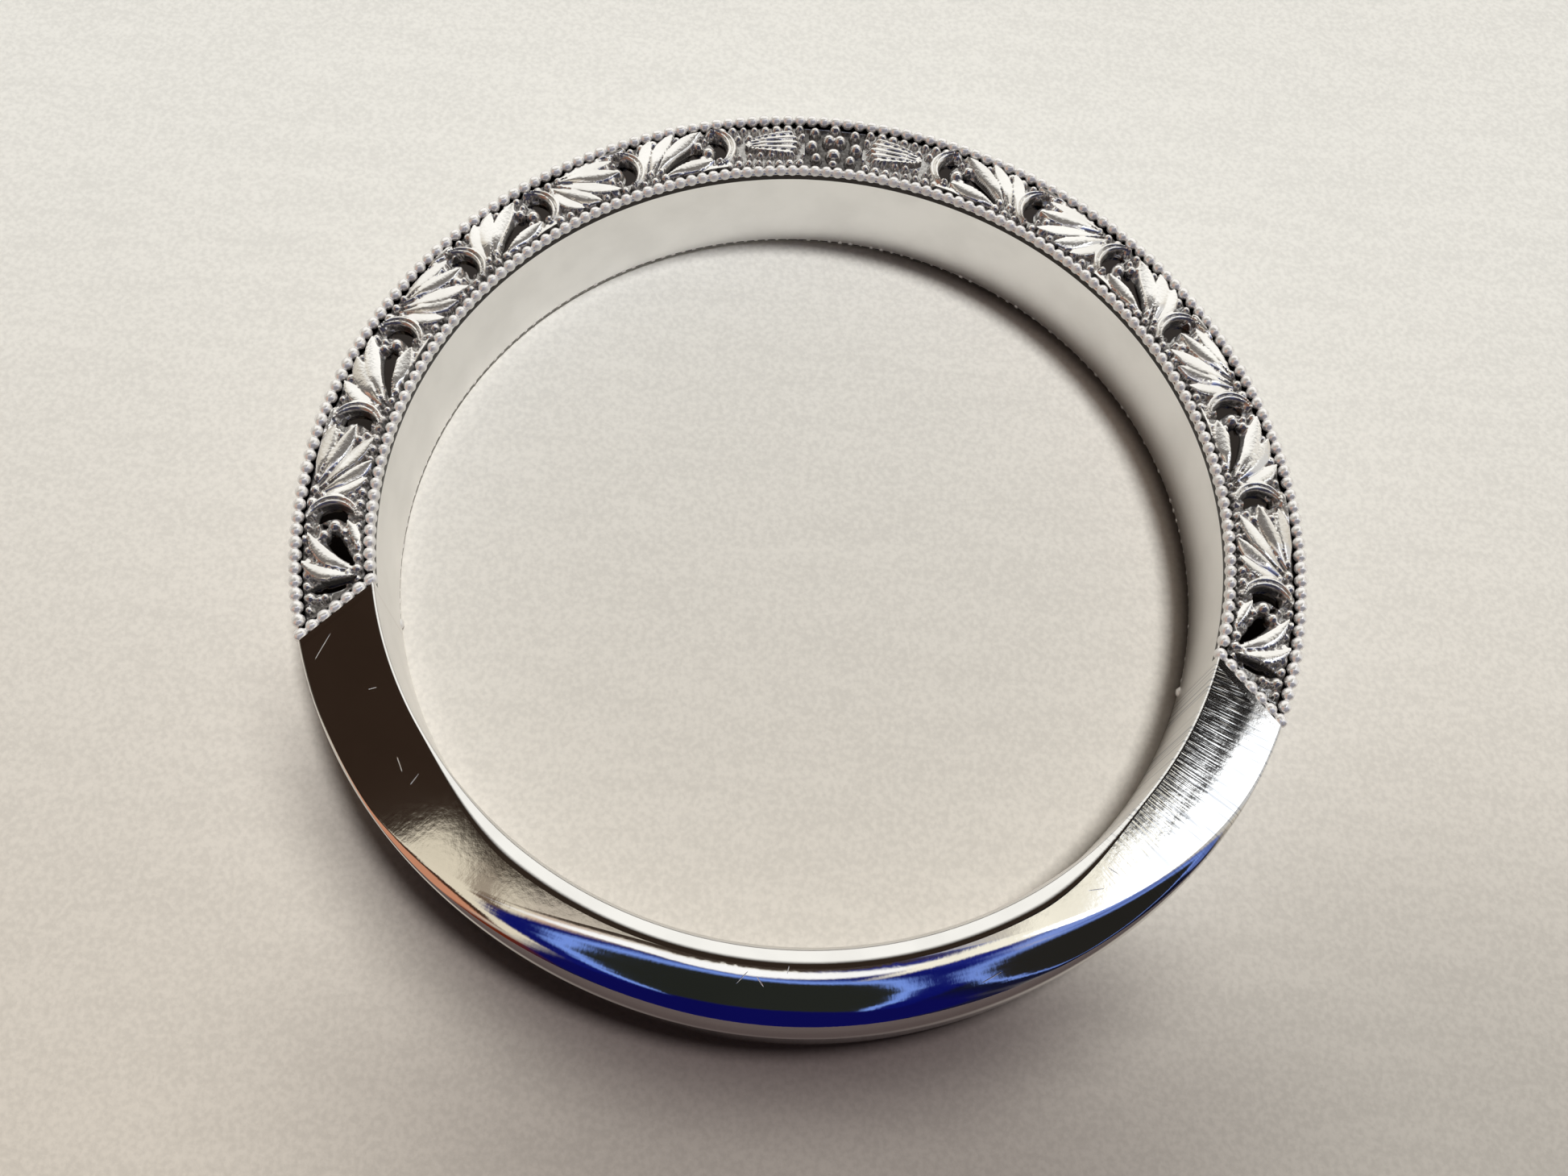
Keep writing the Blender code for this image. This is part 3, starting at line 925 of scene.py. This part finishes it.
def paper(name):
    """Off-white sheet with a fine grain and faint streaks, and painted shade that makes it a little darker
    and warmer towards the viewer.
    """
    material, nodes, shader = new_material(name)
    place = nodes.object_mm()
    y = nodes.axes(place)[1]
    # painted shade: darker and warmer towards the viewer
    tone = nodes.mix(nodes.ramp(y, *PAPER_RANGE), PAPER_NEAR, PAPER_FAR)
    radius = nodes.axis_distance(place)
    outside = nodes.ramp(radius, BORE_RADIUS + 0.2, SHANK_OUTER_RADIUS - 0.2)
    for centre, half, strength, shade in PAPER_SHADES:
        distance = nodes.length(nodes.fitted(place, centre, 0.0, (*half, 1000.0)))
        tone = nodes.mix(nodes.product(nodes.ramp(distance, 0.15, 1.0, strength, 0.0), outside), tone, shade)

    facing = nodes.ramp(nodes.vector("DOT_PRODUCT", place, (*RING_SHADE_SIDE, 0.0)), 4.5, 9.0)
    beside = nodes.ramp(radius, SHANK_OUTER_RADIUS - 0.2, SHANK_OUTER_RADIUS + RING_SHADE_WIDTH,
                        SHADE_STRENGTH, 0.0)
    tone = nodes.mix(nodes.product(beside, outside, facing), tone, RING_SHADE)
    # painted shade on the sheet inside the band
    inside = nodes.ramp(radius, BORE_RADIUS - 0.6, BORE_RADIUS + 0.1, HOLE_DIMMING, 0.0)
    tone = nodes.mix(inside, tone, (0.0, 0.0, 0.0, 1.0))
    facing = nodes.vector("DOT_PRODUCT", place, (*FOOT_SHADE_SIDE, 0.0))
    foot = nodes.product(nodes.ramp(radius, BORE_RADIUS - FOOT_SHADE_WIDTH, BORE_RADIUS),
                         nodes.ramp(facing, 2.5, 7.5, 0.0, SHADE_STRENGTH),
                         nodes.ramp(radius, BORE_RADIUS + 0.3, BORE_RADIUS + 1.0, 1.0, 0.0))
    tone = nodes.mix(foot, tone, FOOT_SHADE)
    # painted shade that only reflections show: the sheet just before the ring looks dark in the polished
    # shank
    glossy = nodes.add("ShaderNodeLightPath").outputs["Is Glossy Ray"]
    before = nodes.ramp(y, -11.5, -9.8, MIRRORED_PAPER_SHARE, 0.0)
    tone = nodes.mix(nodes.product(glossy, before), tone, MIRRORED_PAPER)

    grain = nodes.noise(place, 9.0, 8.0)
    streak = nodes.noise(nodes.vector("MULTIPLY", place, (0.35, 2.2, 1.0)), 1.0, 6.0)
    speckle = nodes.ramp(nodes.math("ADD", grain, nodes.product(streak, 0.3)), 0.45, 0.85, *PAPER_SPECKLE)
    nodes.put(shader.inputs["Base Color"], nodes.vector("SCALE", tone, speckle))
    nodes.put(shader.inputs["Roughness"], PAPER_ROUGHNESS)
    nodes.bump(shader, nodes.math("ADD", nodes.product(grain, PAPER_GRAIN_HEIGHT),
                                  nodes.product(streak, PAPER_STREAK_HEIGHT)))
    return material


# ---- studio

AIM = Vector((-0.31, -1.74, 1.30)) * MM
CAMERA_DISTANCE = 26.14 * MM
CAMERA_AZIMUTH = math.radians(268.1)
CAMERA_ELEVATION = math.radians(66.8)
CAMERA_ROLL = math.radians(6.8)
LENS = 30.84
SENSOR = 36.0
FLOOR_GAP = 0.002  # the sheet lies this far below the ring, so they don't share a plane
FLOOR_HALF = 300.0
FLOOR_POINTS = 41
KEY_ENERGY = 2.62
KEY_COLOUR = (1.0, 0.98, 0.95)
KEY_ANGLE = math.radians(10)  # how wide the lamp looks from the ring
KEY_AZIMUTH = math.radians(30)
KEY_ELEVATION = math.radians(78)


def direction(azimuth, elevation):
    """Unit vector towards a place in the sky."""
    return Vector((math.cos(elevation) * math.cos(azimuth), math.cos(elevation) * math.sin(azimuth),
                   math.sin(elevation)))


def camera():
    """A close view from the viewer's side of the ring, almost overhead."""
    data = bpy.data.cameras.new("camera")
    data.lens = LENS
    data.sensor_width = SENSOR
    data.clip_start = 0.5 * MM
    data.clip_end = 10.0
    viewer = bpy.data.objects.new("camera", data)
    bpy.context.collection.objects.link(viewer)
    away = direction(CAMERA_AZIMUTH, CAMERA_ELEVATION)
    level = Vector((0, 0, 1)).cross(away).normalized()
    level_up = away.cross(level)
    right = math.cos(CAMERA_ROLL) * level + math.sin(CAMERA_ROLL) * level_up
    up = away.cross(right)
    turn = Matrix((right, up, away)).transposed().to_4x4()
    viewer.matrix_world = Matrix.Translation(AIM + CAMERA_DISTANCE * away) @ turn
    bpy.context.scene.camera = viewer


# What the metal mirrors, as soft ellipses painted one over another on a chart of the sky: the zenith lies at
# its middle, the horizon is the circle of radius 1, and u and v point along +X and +Y.
# (centre, half sizes, turn in degrees, softness, colour)
CARDS = (
    ((0.78, 0.02), (0.66, 0.16), -12, 0.15, (0.60, 0.60, 0.60)),
    ((0.65, -0.48), (0.70, 0.28), -22, 0.20, (0.006, 0.007, 0.022)),
    ((-0.60, 0.03), (0.50, 0.09), 12, 0.30, (0.035, 0.026, 0.020)),
    ((-0.55, -0.42), (0.62, 0.20), 46, 0.20, (0.60, 0.27, 0.16)),
    ((-0.62, -0.90), (0.42, 0.20), 30, 0.30, (0.13, 0.020, 0.006)),
    ((0.10, -0.98), (0.60, 0.42), 0, 0.15, (0.010, 0.010, 0.035)),
    ((-0.25, 0.09), (0.120, 0.10), 0, 0.10, (0.030, 0.018, 0.012)),
    ((-0.245, -0.19), (0.38, 0.035), 71, 0.30, (0.050, 0.022, 0.012)),
    ((-0.195, -0.19), (0.38, 0.045), 71, 0.15, (0.80, 0.72, 0.57)),
    ((-0.148, -0.11), (0.24, 0.009), 73, 0.50, (0.14, 0.09, 0.06)),
    ((0.02, -0.72), (0.36, 0.36), 0, 0.12, (0.004, 0.004, 0.085)),
    ((0.400, -0.120), (0.40, 0.055), -28, 0.25, (0.12, 0.18, 0.48)),
    ((0.110, -0.10), (0.17, 0.060), -75, 0.15, (0.010, 0.016, 0.20)),
    ((0.00, -0.42), (0.235, 0.395), 0, 0.06, (0.004, 0.006, 0.130)),
    ((0.428, -0.338), (0.385, 0.156), -52, 0.05, (0.20, 0.32, 0.82)),
    ((0.430, -0.340), (0.366, 0.139), -52, 0.06, (0.018, 0.017, 0.015)),
    ((0.003, -0.40), (0.180, 0.350), 0, 0.05, (0.20, 0.33, 0.85)),
    ((0.003, -0.40), (0.158, 0.322), 0, 0.05, (0.018, 0.020, 0.017)),
    ((0.02, -0.77), (0.42, 0.28), 0, 0.08, (0.004, 0.004, 0.085)),
    ((0.170, 0.020), (0.090, 0.018), 80, 0.40, (0.22, 0.32, 0.75)),
    ((0.000, 0.205), (0.170, 0.130), 0, 0.05, (0.030, 0.020, 0.014)),
    ((-0.160, 0.152), (0.100, 0.070), 47, 0.05, (0.030, 0.018, 0.012)),
    ((0.000, 0.046), (0.085, 0.022), 0, 0.30, (0.05, 0.035, 0.025)),
    ((0.005, -0.012), (0.105, 0.030), 0, 0.30, (1.10, 1.10, 1.10)),
    ((0.115, 0.035), (0.110, 0.022), 76, 0.30, (1.05, 1.00, 0.85)),
    ((0.139, 0.161), (0.075, 0.030), 52, 0.08, (0.015, 0.013, 0.012)),
    ((0.198, 0.114), (0.110, 0.045), 52, 0.06, (1.55, 1.60, 1.66)),
    ((0.00, 0.80), (0.80, 0.55), 0, 0.12, (1.05, 1.04, 1.00)),
    ((-0.90, 0.38), (0.45, 0.42), 0, 0.30, (0.46, 0.42, 0.36)),
    ((0.95, 0.80), (0.40, 0.50), 0, 0.30, (0.16, 0.11, 0.08)),
)
ROOM_COLOUR = (0.62, 0.57, 0.48)
AIR_COLOUR = (0.090, 0.075, 0.062)  # the soft light that the paper gets from all round
BACKDROP_COLOUR = (0.72, 0.71, 0.68)
RIPPLE = 0.05  # how uneven the cards' outlines look
RIPPLE_SCALE = 7.0


def world():
    """A pale backdrop for the camera, soft light for the paper and the cards for the metal's reflections."""
    sky = bpy.data.worlds.new("studio")
    sky.use_nodes = True
    bpy.context.scene.world = sky
    nodes = Nodes(sky.node_tree)
    ray = nodes.add("ShaderNodeTexCoord").outputs["Generated"]
    above_nadir = nodes.math("MAXIMUM", nodes.math("ADD", nodes.axes(ray)[2], 1.0), 0.05)
    spread = nodes.math("DIVIDE", 1.0, above_nadir)
    chart = nodes.vector("SCALE", ray, spread)
    ripple = nodes.add("ShaderNodeTexNoise", Vector=chart, Scale=RIPPLE_SCALE)
    shake = nodes.vector("SCALE", nodes.vector("SUBTRACT", ripple.outputs[1], (0.5, 0.5, 0.5)), RIPPLE)
    chart = nodes.vector("MULTIPLY", nodes.vector("ADD", chart, shake), (1.0, 1.0, 0.0))
    colour = (*ROOM_COLOUR, 1)
    for centre, half, turn, softness, tone in CARDS:
        distance = nodes.length(nodes.fitted(chart, centre, math.radians(turn), (*half, 1.0)))
        share = nodes.ramp(distance, 1 - softness, 1 + softness, 1.0, 0.0)
        colour = nodes.mix(share, colour, (*tone, 1))
    path = nodes.add("ShaderNodeLightPath")
    seen = nodes.mix(path.outputs["Is Glossy Ray"], (*AIR_COLOUR, 1), colour)
    seen = nodes.mix(path.outputs["Is Camera Ray"], seen, (*BACKDROP_COLOUR, 1))
    background = nodes.tree.nodes["Background"]
    nodes.put(background.inputs["Color"], seen)
    nodes.put(background.inputs["Strength"], 1.0)


def key_light():
    """The lamp, which lights the paper and the metal but isn't mirrored in it."""
    data = bpy.data.lights.new("key", "SUN")
    data.energy = KEY_ENERGY
    data.angle = KEY_ANGLE
    data.color = KEY_COLOUR
    lamp = bpy.data.objects.new("key", data)
    bpy.context.collection.objects.link(lamp)
    away = direction(KEY_AZIMUTH, KEY_ELEVATION)
    lamp.rotation_euler = away.to_track_quat("Z", "Y").to_euler()
    lamp.visible_glossy = False


def floor(material):
    """The sheet of paper under the ring."""
    count = FLOOR_POINTS
    side = np.linspace(-FLOOR_HALF, FLOOR_HALF, count)
    x, y = np.meshgrid(side, side, indexing="ij")
    points = np.stack([x, y, np.full_like(x, -HALF_WIDTH - FLOOR_GAP)], axis=-1).reshape(-1, 3)
    faces = []
    for i in range(count - 1):
        for j in range(count - 1):
            start = i * count + j
            faces.append((start, start + count, start + count + 1, start + 1))
    mesh = bpy.data.meshes.new("paper_floor")
    mesh.from_pydata((points * MM).tolist(), [], faces)
    mesh.materials.append(material)
    sheet = bpy.data.objects.new("paper_floor", mesh)
    bpy.context.collection.objects.link(sheet)


# ---- assembly

def build():
    engraved = metal("engraved_metal", (0.98, 0.97, 0.95), (0.86, 0.84, 0.81), 0.13, 14.0, 0.004, relief=True,
                     painted_cut_shade=(0.38, 0.36, 0.35), matt=0.18)
    polished = metal("polished_metal", (0.88, 0.87, 0.85), (0.82, 0.81, 0.79), 0.05, 9.0, 0.0004, worn=True)
    beaded = metal("beaded_metal", (0.99, 0.98, 0.97), (0.92, 0.91, 0.90), 0.19, 20.0, 0.002,
                   painted_cut_shade=(0.85, 0.83, 0.82), matt=0.42)
    solder = metal("solder_metal", (0.84, 0.82, 0.80), (0.76, 0.74, 0.72), 0.05, 16.0, 0.0006)

    arch_body(metal("arch_metal", (0.88, 0.87, 0.85), (0.82, 0.81, 0.79), 0.05, 9.0, 0.0004, relief=True))
    plain_shank(polished)
    for end, end_name in ((1, "left"), (-1, "right")):
        solder_seam(end, end_name, solder)
    rng = np.random.default_rng(5)
    for side, side_name in ((1, "upper"), (-1, "lower")):
        scrollwork(f"{side_name}_scrollwork", side, engraved)
        inner_radius = INNER_WIRE + (LOWER_INNER_SHIFT if side < 0 else 0.0)
        for edge, radius, beads in (("inner", inner_radius, INNER_BEADS), ("outer", OUTER_WIRE, OUTER_BEADS)):
            row = milgrain_row(f"{side_name}_{edge}_beads", radius, beads, side, rng, beaded)
            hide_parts(f"{side_name}_{edge}_milgrain")
        for end, end_name in ((1, "left"), (-1, "right")):
            row = border_row(f"{side_name}_{end_name}_border_beads", end, side, rng, beaded)
            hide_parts(f"{side_name}_{end_name}_border")


build()
floor(paper("paper"))
world()
key_light()
camera()
bpy.context.scene.view_settings.view_transform = "Standard"
